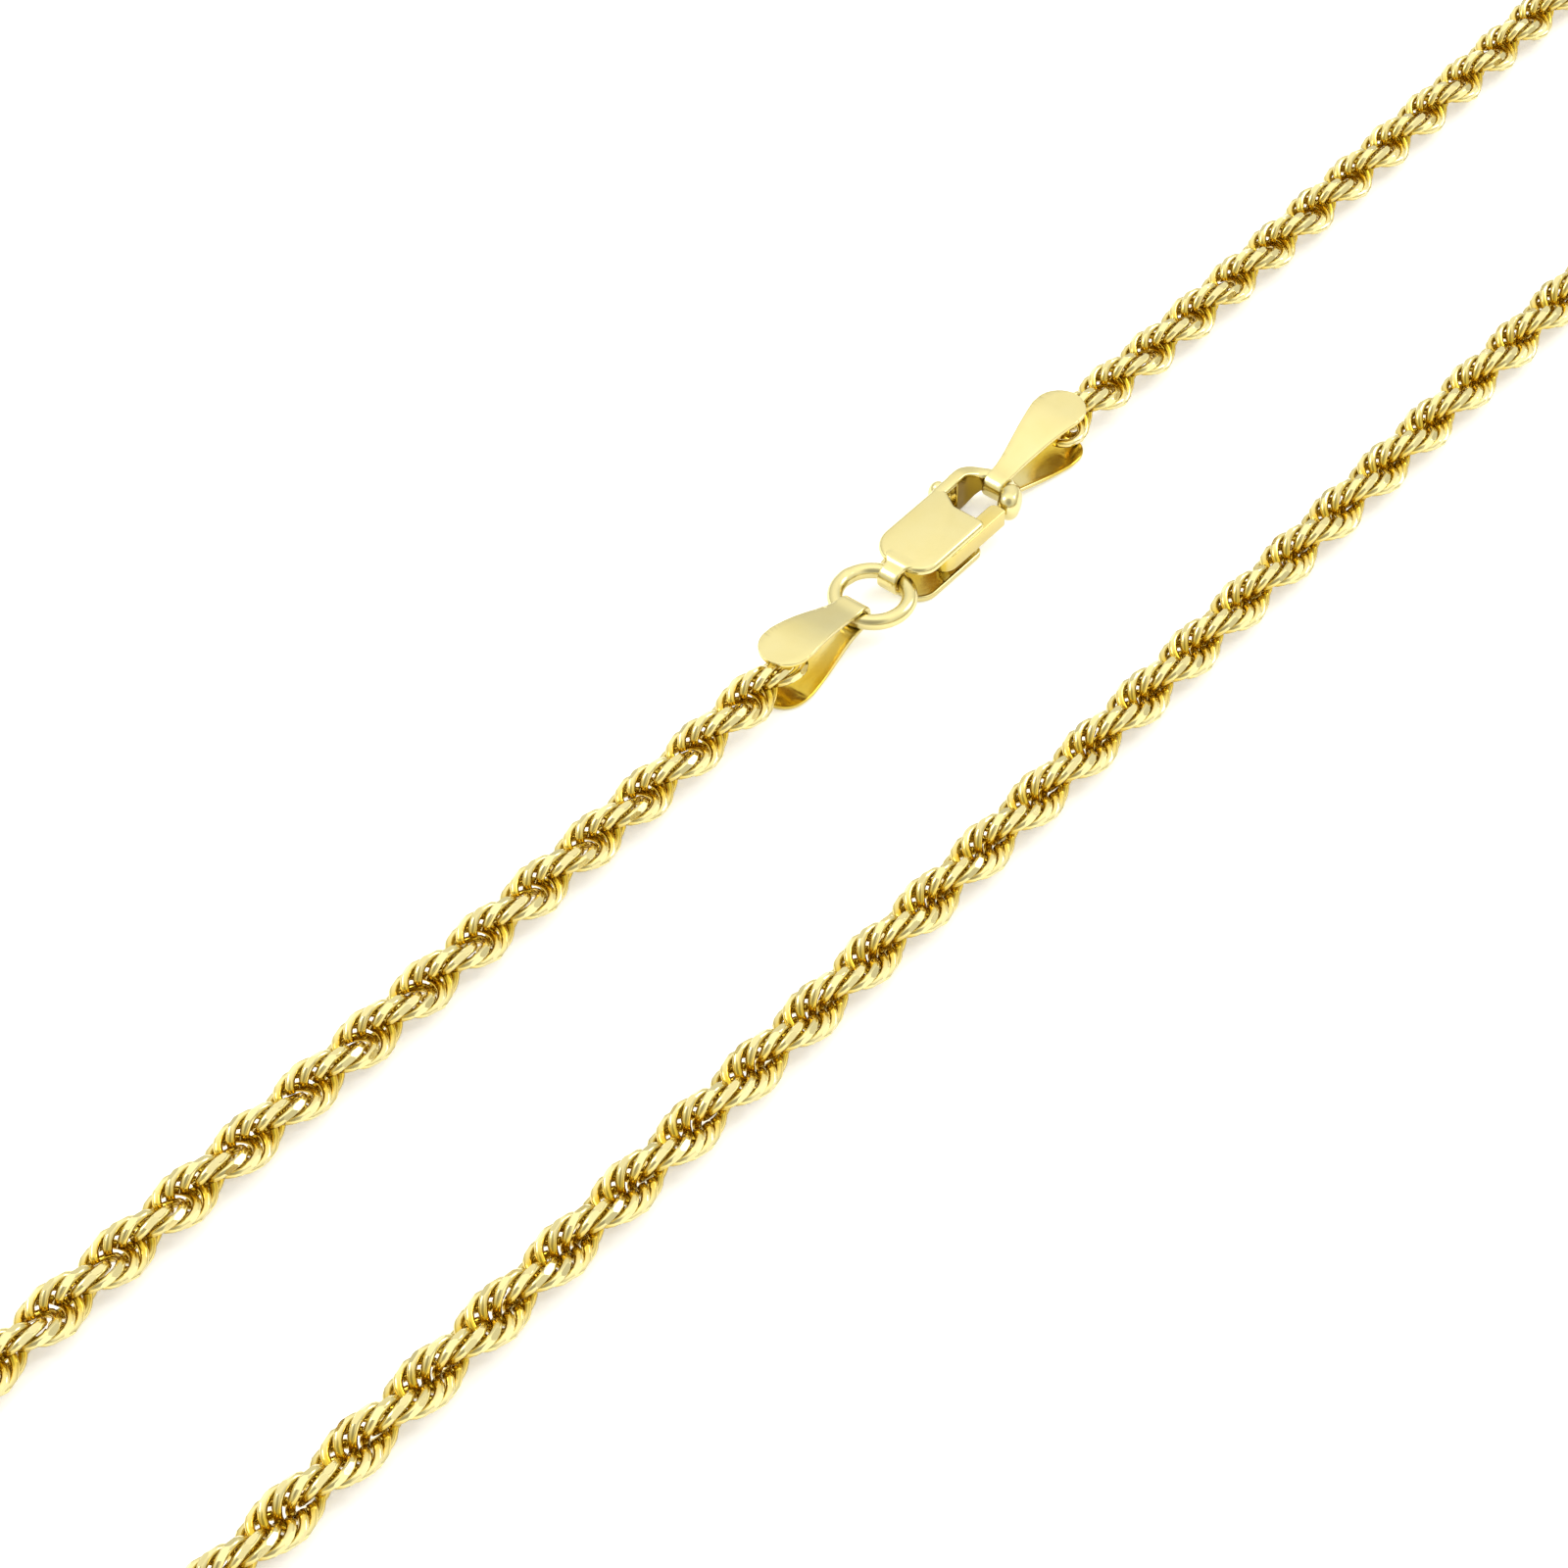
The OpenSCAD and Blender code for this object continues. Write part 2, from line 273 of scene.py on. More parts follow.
def deepen(piece, depth):
    """Stores the painted shade of each vertex as its depth: 0 on the outsides, 1 in hollows,
    painted amber, and 2 for a dark painted shadow where hardly any light comes."""
    attributes = piece.data.attributes
    layer = attributes.get("depth") or attributes.new("depth", "FLOAT", "POINT")
    layer.data.foreach_set("value", np.clip(depth, 0, 2).astype(np.float32))


def to_metres(piece):
    """Brings a piece that was modelled in millimetres to its real size."""
    piece.data.transform(Matrix.Scale(MM, 4))
    piece.data.update()


def finish_piece(piece, node, body, material):
    """Gives a piece its finish, hides the node that it stands for and hangs the piece on its body.
    """
    piece.data.materials.clear()
    piece.data.materials.append(material)
    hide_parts(node)
    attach(piece, body)


# Route of the rope, in millimetres


class Route:
    """The rope's centre line: from the hook side's cap round the loop to the ring side's cap."""

    # Turn of the rope about itself beyond its even twist: at its start, and in each end turn
    start_roll = math.radians(10.3)
    turn_rolls = math.radians(35), math.radians(-93.5)

    def __init__(self, rope):
        low, high = (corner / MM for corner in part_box("rope_chain"))
        width = rope.width / MM
        self.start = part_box("hook_side_cap")[1].x / MM - rope.inside_cap / MM
        self.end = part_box("ring_side_cap")[0].x / MM + rope.inside_cap / MM
        self.far_y = high.y - width / 2
        self.turn_r = (high.y - low.y - width) / 2
        self.turn_x = high.x - width / 2 - self.turn_r
        self.low_z = width / 2
        self.cap_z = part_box("hook_side_cap")[1].z / MM / 2
        self.level = rope.inside_cap / MM
        self.rise = rope.rise / MM
        stretches = [
            self.turn_x - self.start,
            math.pi * self.turn_r,
            2 * self.turn_x,
            math.pi * self.turn_r,
            self.end + self.turn_x,
        ]
        self.marks = np.concatenate([[0], np.cumsum(stretches)])
        self.length = self.marks[-1]
        # The far strand is twisted tightly, and the near one lies slacker.
        slack = -rope.slack * 2 * self.turn_x
        first_turn, last_turn = self.turn_rolls
        self.rolls = self.start_roll + np.cumsum([0, 0, first_turn, slack, last_turn, 0])

    def lay(self, points):
        """Bends points that lie along a straight rope on the X axis round the loop."""
        s, side, up = points.T
        roll = np.interp(s, self.marks, self.rolls)
        side, up = (
            side * np.cos(roll) - up * np.sin(roll), side * np.sin(roll) + up * np.cos(roll))
        inside = np.clip(s, 0, self.length)
        part = np.clip(np.searchsorted(self.marks, inside, side="right") - 1, 0, 4)
        t = s - self.marks[part]
        near_y = self.far_y - 2 * self.turn_r
        mid_y = self.far_y - self.turn_r
        angle = t / self.turn_r
        sin, cos = np.sin(angle), np.cos(angle)
        reach = self.turn_r + side
        x = np.choose(part, [
            self.start + t,
            self.turn_x + reach * sin,
            self.turn_x - t,
            -self.turn_x - reach * sin,
            -self.turn_x + t,
        ])
        y = np.choose(part, [
            self.far_y + side,
            mid_y + reach * cos,
            near_y - side,
            mid_y - reach * cos,
            self.far_y + side,
        ])
        from_cap = np.minimum(s, self.length - s) - self.level
        share = np.clip(1 - from_cap / self.rise, 0, 1)
        lift = (self.cap_z - self.low_z) * share * share * (3 - 2 * share)
        return np.stack([x, y, self.low_z + lift + up], axis=1)


# Materials


def add_node(tree, kind, inputs=None, links=None, **settings):
    """Adds one shader node with its settings, socket values and incoming links."""
    node = tree.nodes.new(kind)
    for key, value in settings.items():
        setattr(node, key, value)
    for socket, value in (inputs or {}).items():
        node.inputs[socket].default_value = value
    for socket, source in (links or {}).items():
        tree.links.new(source, node.inputs[socket])
    return node


def new_material(name):
    """An empty node material with its shader and output."""
    material = bpy.data.materials.new(name)
    material.use_nodes = True
    tree = material.node_tree
    tree.nodes.clear()
    shader = add_node(tree, "ShaderNodeBsdfPrincipled")
    add_node(tree, "ShaderNodeOutputMaterial", links={"Surface": shader.outputs["BSDF"]})
    return material, tree, shader


def rgba(colour):
    """A colour with full alpha."""
    return (*colour, 1.0)


def gold_material(name, light, deep, amber, shadow, cloud_mm, roughness, dimple_mm, dimple):
    """Yellow gold: light with deeper clouds, a little uneven from hand polishing, with painted
    shade:
    amber in its hollows, where light only comes after several reflections, and a dark painted
    shadow where hardly any comes."""
    material, tree, shader = new_material(name)
    here = add_node(tree, "ShaderNodeTexCoord").outputs["Object"]
    clouds = add_node(
        tree, "ShaderNodeTexNoise", {"Scale": 1 / (cloud_mm * MM), "Detail": 3.0}, {"Vector": here})
    # The depth attribute holds each point's painted shade.
    depth = add_node(tree, "ShaderNodeAttribute", attribute_name="depth").outputs["Fac"]
    past_amber = add_node(
        tree, "ShaderNodeMath", {1: 1.0}, {0: depth}, operation="SUBTRACT", use_clamp=True)
    tone = add_node(
        tree, "ShaderNodeMix", {"A": rgba(light), "B": rgba(deep)},
        {"Factor": clouds.outputs["Fac"]}, data_type="RGBA")
    # Painted shade: amber up to a depth of 1, and the painted shadow colour beyond it
    for colour, share in ((amber, depth), (shadow, past_amber.outputs["Value"])):
        tone = add_node(
            tree, "ShaderNodeMix", {"B": rgba(colour)},
            {"Factor": share, "A": tone.outputs["Result"]}, data_type="RGBA")
    wear = add_node(
        tree, "ShaderNodeTexNoise", {"Scale": 1 / (dimple_mm * MM), "Detail": 2.0},
        {"Vector": here})
    rough = add_node(
        tree, "ShaderNodeMapRange",
        {"To Min": roughness * 0.7, "To Max": roughness * 1.3}, {"Value": wear.outputs["Fac"]})
    # A dimple is a tenth as deep as it is wide.
    bump = add_node(
        tree, "ShaderNodeBump", {"Strength": dimple, "Distance": dimple_mm * MM * 0.1},
        {"Height": wear.outputs["Fac"]})
    tree.links.new(tone.outputs["Result"], shader.inputs["Base Color"])
    tree.links.new(rough.outputs["Result"], shader.inputs["Roughness"])
    tree.links.new(bump.outputs["Normal"], shader.inputs["Normal"])
    shader.inputs["Metallic"].default_value = 1.0
    return material


def polished_gold(colours):
    """Cast and stamped yellow gold, buffed: soft broad reflections with faint clouds."""
    name = "polished_yellow_gold"
    return bpy.data.materials.get(name) or gold_material(
        name, colours.polished, colours.polished_deep, colours.amber, colours.shadow,
        cloud_mm=2.2, roughness=0.2, dimple_mm=0.25, dimple=0.12)


def cut_gold(colours):
    """Diamond-cut gold: crisp mirror facets that flash between gaps painted amber shade."""
    name = "diamond_cut_gold"
    return bpy.data.materials.get(name) or gold_material(
        name, colours.cut, colours.polished, colours.deep_amber, colours.shadow,
        cloud_mm=1.5, roughness=0.13, dimple_mm=0.2, dimple=0.08)


def floor_material(colour, glow, haze_mm=8):
    """Translucent white acrylic, lit from below: no shadow falls on it beyond a faint one."""
    material, tree, shader = new_material("backlit_white_acrylic")
    here = add_node(tree, "ShaderNodeTexCoord").outputs["Object"]
    haze = add_node(
        tree, "ShaderNodeTexNoise", {"Scale": 1 / (haze_mm * MM), "Detail": 2.0},
        {"Vector": here})
    tone = add_node(
        tree, "ShaderNodeMix", {"A": rgba(colour), "B": rgba([0.98 * c for c in colour])},
        {"Factor": haze.outputs["Fac"]}, data_type="RGBA")
    tree.links.new(tone.outputs["Result"], shader.inputs["Base Color"])
    shader.inputs["Roughness"].default_value = 0.9
    shader.inputs["Specular IOR Level"].default_value = 0.1
    shader.inputs["Emission Color"].default_value = rgba(colour)
    shader.inputs["Emission Strength"].default_value = glow
    return material


# The rope


class NECKLACE_OT_rope_links(Operator):
    """Model an open link, cut its flats, array it into the rope and lay it along the loop"""

    bl_idname = "necklace.rope_links"
    bl_label = "Rope Links"

    wire_sides = 8
    wire_bends = 20
    # Distance from the rope's axis within which the links are painted amber shade, and the
    # stretch over which that painted shade comes in, in millimetres
    amber_from = 1.12
    amber_over = 0.55

    def execute(self, context):
        rope = context.scene.necklace_rope
        gold = cut_gold(context.scene.necklace_gold)
        route = Route(rope)
        reach = (rope.link_radius + rope.wire / 2) / MM
        count = round((route.length - 2 * reach) * MM / rope.pitch) + 1
        pitch = (route.length - 2 * reach) / (count - 1)
        turn = math.pi + rope.twist
        for number, share in enumerate(np.array_split(np.arange(count), rope.pieces), start=1):
            piece = self.link(rope)
            self.cut_flats(piece, rope)
            start = Matrix.Translation((reach + pitch * share[0], 0, 0))
            piece.data.transform(start @ Matrix.Rotation(turn * share[0], 4, "X"))
            self.repeat(piece, len(share), pitch, turn)
            points = coordinates(piece)
            from_axis = np.hypot(points[:, 1], points[:, 2])
            # Painted shade: the links turn amber towards the rope's axis, where light comes only
            # after reflections
            deepen(piece, np.clip((self.amber_from - from_axis) / self.amber_over, 0, 1))
            place(piece, route.lay(points))
            to_metres(piece)
            piece.name = f"rope_links_{number}"
            only(piece)
            bpy.ops.object.shade_smooth(keep_sharp_edges=True)
            finish_piece(piece, "rope_chain", "necklace", gold)
        return {"FINISHED"}

    def link(self, rope):
        """An open round link in millimetres. Its plane holds the rope's axis, the X axis, and its
        opening lies in the middle of the rope, where the next links pass through it."""
        bpy.ops.object.select_all(action="DESELECT")
        bpy.ops.mesh.primitive_circle_add(
            vertices=self.wire_sides, radius=rope.wire / MM / 2, fill_type="NGON",
            location=(rope.link_radius / MM, 0, 0), rotation=(math.pi / 2, 0, 0))
        piece = bpy.context.object
        bpy.ops.object.transform_apply(location=True, rotation=True)
        edit(
            piece,
            lambda: bpy.ops.mesh.spin(
                steps=self.wire_bends, angle=2 * (math.pi - rope.opening), center=(0, 0, 0),
                axis=(0, 0, 1)),
            lambda: bpy.ops.mesh.select_all(action="SELECT"),
            lambda: bpy.ops.mesh.normals_make_consistent(inside=False))
        # The spin turns clockwise, so the opening is centred at its own half angle; it goes to -X.
        piece.data.transform(Matrix.Rotation(math.pi - rope.opening, 4, "Z"))
        return piece

    def cut_flats(self, piece, rope):
        """Cuts two flats, side by side along the twist, where the link shows on either side."""
        radius = rope.width / MM / 2
        tilt = rope.facet_tilt
        per_turn = rope.pitch / MM * 2 * math.pi / rope.twist
        helix = math.atan2(2 * math.pi * radius, per_turn)

        def cut(side, lean):
            normal = Vector((
                lean * math.sin(tilt) * math.sin(helix),
                side * math.cos(tilt),
                -side * lean * math.sin(tilt) * math.cos(helix)))
            bpy.ops.mesh.select_all(action="SELECT")
            bpy.ops.mesh.bisect(
                plane_co=normal * radius * math.cos(tilt), plane_no=normal, use_fill=True,
                clear_outer=True, threshold=0.00001)
            bpy.ops.mesh.mark_sharp()

        edit(piece, *[
            lambda side=side, lean=lean: cut(side, lean) for side in (1, -1) for lean in (1, -1)])

    def repeat(self, piece, count, pitch, turn):
        """Arrays the link along the rope, each one turned past the one before."""
        step = bpy.data.objects.new("next_link", None)
        bpy.context.scene.collection.objects.link(step)
        step.matrix_world = Matrix.Translation((pitch, 0, 0)) @ Matrix.Rotation(turn, 4, "X")
        bpy.context.view_layer.update()
        apply_modifier(
            piece, "links", "ARRAY", use_relative_offset=False, use_object_offset=True,
            offset_object=step, count=count)
        bpy.data.objects.remove(step)


# Sheet and bar, modelled in millimetres

# Vertices of one place, and of one level, lie no further apart than this
SAME_PLACE = 0.0005
SAME_LEVEL = 0.0001
# Level, from the middle of a sheet, below which its section belongs to the inner face
INNER_FACE = -0.04
FOLD_STEPS = 20
# Width of the rim round a plate's hollow, and of the slope down into it
RIM_WIDTH = 0.08
RIM_SLOPE = 0.2


def soft_ramp(d, reach):
    """Nothing before 0 and d after it, with a round bend of this reach where the ramp starts."""
    return np.where(d > reach, d, np.clip(d + reach, 0, None) ** 2 / (4 * reach))


def ease(x, stops, values):
    """Values at x that run from stop to stop without a kink."""
    share = np.interp(x, stops, range(len(stops)))
    low = np.minimum(share.astype(int), len(stops) - 2)
    t = share - low
    values = np.asarray(values)
    return values[low] + (values[low + 1] - values[low]) * t * t * (3 - 2 * t)


def flat_section(half_width, half_height, corner, across=6, round_steps=4):
    """Corners of a flat bar's section with rounded edges, once round it from its +Y side."""
    angles = np.radians(np.arange(round_steps) * 90 / (round_steps - 1))
    flat = max(half_width - corner, 0)
    y, z = [], []
    for turn, (side, up) in enumerate(((1, 1), (-1, 1), (-1, -1), (1, -1))):
        y += list(side * flat + corner * np.cos(angles + turn * math.pi / 2))
        z += list(up * (half_height - corner) + corner * np.sin(angles + turn * math.pi / 2))
        if turn in (0, 2):
            inner = np.linspace(side, -side, across + 1)[1:-1]
            y += list(inner * flat)
            z += [up * half_height] * len(inner)
    return np.array([y, z]).T


def oval_section(half_width, half_height, square, sides=28):
    """Corners of an oval section: round where square is 2, boxier as it grows."""
    a = np.arange(sides) * 2 * math.pi / sides
    c, s = np.cos(a), np.sin(a)
    y = half_width * np.sign(c) * np.abs(c) ** (2 / square)
    z = half_height * np.sign(s) * np.abs(s) ** (2 / square)
    return np.array([y, z]).T


def sweep(name, rings, depths):
    """A closed bar through these rings of points, shaped from a sphere's rings, with the painted
    shade of each point."""
    rings, depths = np.asarray(rings), np.asarray(depths)
    count, sides = rings.shape[:2]
    bpy.ops.object.select_all(action="DESELECT")
    bpy.ops.mesh.primitive_uv_sphere_add(segments=sides, ring_count=count + 1, radius=1)
    piece = bpy.context.object
    piece.name = name
    x, y, z = coordinates(piece).T
    ring = np.round(np.arccos(np.clip(z, -1, 1)) / math.pi * (count + 1)).astype(int) - 1
    corner = np.round(np.arctan2(y, x) / (2 * math.pi) * sides).astype(int) % sides
    nearest = np.clip(ring, 0, count - 1)
    points = rings[nearest, corner]
    points[ring < 0] = rings[0].mean(axis=0)
    points[ring >= count] = rings[-1].mean(axis=0)
    place(piece, points)
    deepen(piece, depths[nearest, corner])
    edit(
        piece,
        lambda: bpy.ops.mesh.remove_doubles(threshold=SAME_PLACE),
        lambda: bpy.ops.mesh.normals_make_consistent(inside=False))
    return piece


def fold_path(x, bend_r, bend_z, lower, upper):
    """Outer face of folded sheet: in along the lower leg, round the fold, out along the upper."""
    turn = np.radians(np.linspace(-90, -270, FOLD_STEPS + 1)[1:-1])
    path_x = np.concatenate([x, bend_r + bend_r * np.cos(turn), x[::-1]])
    path_z = np.concatenate([lower, bend_z + bend_r * np.sin(turn), upper[::-1]])
    return path_x, path_z


def strap(name, path, half_widths, shades, rims, sheet, edge):
    """Sheet metal along the path of its outer face. Its inner face gets painted amber shade ring by
    ring, and the rims say how fast it turns up with the fourth power of the way from its middle."""
    along = np.gradient(path, axis=1)
    along /= np.linalg.norm(along, axis=0)
    rings, depths = [], []
    for x, z, ahead, up, half_width, shade, rim in zip(*path, *along, half_widths, shades, rims):
        y, level = flat_section(half_width, sheet / 2, edge).T
        out = level - sheet / 2
        rings.append(np.stack([x - up * out, y, z + ahead * out + rim * y**4], axis=1))
        depths.append(np.where(level < INNER_FACE, shade, 0))
    return sweep(name, rings, depths)


def rounded_outline(corners, steps=9):
    """Points round an outline whose corners are given as x, y and radius."""
    outline = []
    for i, (x, y, r) in enumerate(corners):
        here = np.array([x, y])
        before = np.array(corners[i - 1][:2]) - here
        after = np.array(corners[(i + 1) % len(corners)][:2]) - here
        before, after = before / np.linalg.norm(before), after / np.linalg.norm(after)
        half = math.acos(np.clip(before @ after, -1, 1)) / 2
        middle = here + (before + after) / np.linalg.norm(before + after) * r / math.sin(half)
        first = here + before * r / math.tan(half) - middle
        last = here + after * r / math.tan(half) - middle
        a = math.atan2(first[1], first[0])
        turn = (math.atan2(last[1], last[0]) - a + math.pi) % (2 * math.pi) - math.pi
        outline += [middle + r * np.array([math.cos(a + turn * t), math.sin(a + turn * t)])
                    for t in np.linspace(0, 1, steps)]
    return np.array(outline)


def choose(piece, kind, level):
    """In edit mode, selects only the edges or faces that lie flat at this level."""
    bpy.ops.mesh.select_all(action="DESELECT")
    shape = bmesh.from_edit_mesh(piece.data)
    for item in getattr(shape, kind):
        if all(abs(vertex.co.z - level) < SAME_LEVEL for vertex in item.verts):
            item.select_set(True)
    bmesh.update_edit_mesh(piece.data)


def plate(name, outline, low, high, top_edge, low_edge, dish=0):
    """A flat plate with this outline, its rims rounded and its top hollowed by the dish."""
    def rim(level, width):
        choose(piece, "edges", level)
        bpy.ops.mesh.bevel(offset=width, segments=5, affect="EDGES", clamp_overlap=False)

    def hollow():
        choose(piece, "faces", high)
        bpy.ops.mesh.inset(thickness=RIM_WIDTH, depth=0)
        bpy.ops.mesh.inset(thickness=RIM_SLOPE, depth=-dish)

    bpy.ops.object.select_all(action="DESELECT")
    bpy.ops.mesh.primitive_circle_add(vertices=len(outline), radius=1, fill_type="NGON")
    piece = bpy.context.object
    piece.name = name
    place(piece, np.column_stack([outline, np.full(len(outline), low)]))
    edit(
        piece,
        lambda: bpy.ops.mesh.extrude_region_move(
            TRANSFORM_OT_translate={"value": (0, 0, high - low)}),
        lambda: bpy.ops.mesh.select_all(action="SELECT"),
        lambda: bpy.ops.mesh.normals_make_consistent(inside=False),
        lambda: rim(high, top_edge),
        lambda: rim(low, low_edge),
        *([hollow] if dish else []))
    return piece


def join(name, pieces):
    """Makes one piece of several."""
    bpy.ops.object.select_all(action="DESELECT")
    for piece in pieces:
        piece.select_set(True)
    bpy.context.view_layer.objects.active = pieces[0]
    bpy.ops.object.join()
    pieces[0].name = name
    return pieces[0]


def polish(piece, across, crease=35):
    """Shades a piece smooth but for creases of more than this angle, moves it across to the
    strand and brings it to real size."""
    only(piece)
    bpy.ops.object.shade_smooth_by_angle(angle=math.radians(crease))
    piece.data.transform(Matrix.Translation((0, across, 0)))
    to_metres(piece)


# The findings


class NECKLACE_OT_end_caps(Operator):
    """Model the two end caps: a sheet folded round a ring, its leaves flared to hold the rope"""

    bl_idname = "necklace.end_caps"
    bl_label = "End Caps"

    # Where the leaves part and where they widen, from the fold, with the reach of each bend
    neck, neck_bend = 1.1, 0.35
    waist, waist_bend = 1.3, 0.9
    # How much wider a leaf would grow than its round end, which cuts it off
    flare = 1.12
    # Stretch from the fold over which the inner face turns painted amber shade, and how much at its
    # ends
    amber_stretch, amber_depths = (2.0, 4.6), (0.1, 1)
    leaf_rings = 56
    # Where the count of a leaf's rings starts, from 0 at its very end to 1 at the fold
    tip = 0.006

    def execute(self, context):
        findings = context.scene.necklace_findings
        gold = polished_gold(context.scene.necklace_gold)
        caps = (
            ("ring_side_cap", -1, findings.ring_fold),
            ("hook_side_cap", 1, findings.hook_fold))
        for node, mouth, fold_width in caps:
            low, high = (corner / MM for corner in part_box(node))
            piece = self.folded_sheet(node, high.x - low.x, high.z, fold_width / MM, findings)
            fold_x = high.x if mouth < 0 else low.x
            piece.data.transform(
                Matrix.Translation((fold_x, 0, 0)) @ Matrix.Diagonal((mouth, 1, 1, 1)))
            edit(piece, lambda: bpy.ops.mesh.normals_make_consistent(inside=False))
            polish(piece, (low.y + high.y) / 2)
            finish_piece(piece, node, "necklace", gold)
        return {"FINISHED"}

    def folded_sheet(self, node, length, height, fold_width, findings):
        """The folded sheet with its fold at 0 and its leaves along +X."""
        bend_r, bend_z = findings.cap_fold / MM / 2, findings.fold_middle / MM
        round_r = findings.cap_round / MM
        crease = length - findings.cap_flat / MM
        # The rings crowd towards the round end of a leaf.
        t = np.linspace(self.tip, 1, self.leaf_rings)
        x = length - (length - bend_r) * t * t
        ramp = soft_ramp(x - self.neck, self.neck_bend)
        ramp = (ramp - soft_ramp(x - crease, findings.cap_bend / MM)) / (crease - self.neck)
        path_x, path_z = fold_path(
            x, bend_r, bend_z, (bend_z - bend_r) * (1 - ramp),
            bend_z + bend_r + (height - bend_z - bend_r) * ramp)
        wedge = soft_ramp(path_x - self.waist, self.waist_bend) / (length - round_r - self.waist)
        wedge = fold_width / 2 + (round_r - fold_width / 2) * self.flare * wedge
        past_round = np.clip(path_x - length + round_r, 0, None)
        round_end = np.sqrt(np.clip(round_r**2 - past_round**2, 0, None))
        shades = ease(path_x, self.amber_stretch, self.amber_depths)
        rims = np.where(path_z < bend_z - bend_r / 2, findings.cap_dish / MM / round_r**4, 0)
        return strap(
            "folded_" + node, (path_x, path_z), np.minimum(wedge, round_end), shades, rims,
            findings.cap_sheet / MM, findings.edge / MM)


class NECKLACE_OT_jump_ring(Operator):
    """Model the round wire ring with the low swelling of its solder seam"""

    bl_idname = "necklace.jump_ring"
    bl_label = "Jump Ring"

    # The seam's place round the ring and its spread in degrees, clear of both folds, and how much
    # thicker the wire is there
    seam_at, seam_spread = 80, 7
    seam_swell = 0.06

    def execute(self, context):
        wire = context.scene.necklace_findings.ring_wire / MM
        low, high = (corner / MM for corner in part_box("jump_ring"))
        radius = (high.x - low.x - (high.z - low.z)) / 2
        bpy.ops.mesh.primitive_torus_add(
            major_segments=96, minor_segments=28, major_radius=radius, minor_radius=wire / 2)
        piece = context.object
        points = coordinates(piece)
        from_seam = np.degrees(np.arctan2(points[:, 1], points[:, 0])) - self.seam_at
        swell = 1 + self.seam_swell * np.exp(-(from_seam / self.seam_spread) ** 2)
        centre = points * [1, 1, 0]
        centre *= radius / np.linalg.norm(centre, axis=1)[:, None]
        place(piece, centre + (points - centre) * swell[:, None] + (low + high) / 2)
        piece.name = "soldered_jump_ring"
        to_metres(piece)
        bpy.ops.object.shade_smooth()
        gold = polished_gold(context.scene.necklace_gold)
        finish_piece(piece, "jump_ring", "necklace", gold)
        return {"FINISHED"}


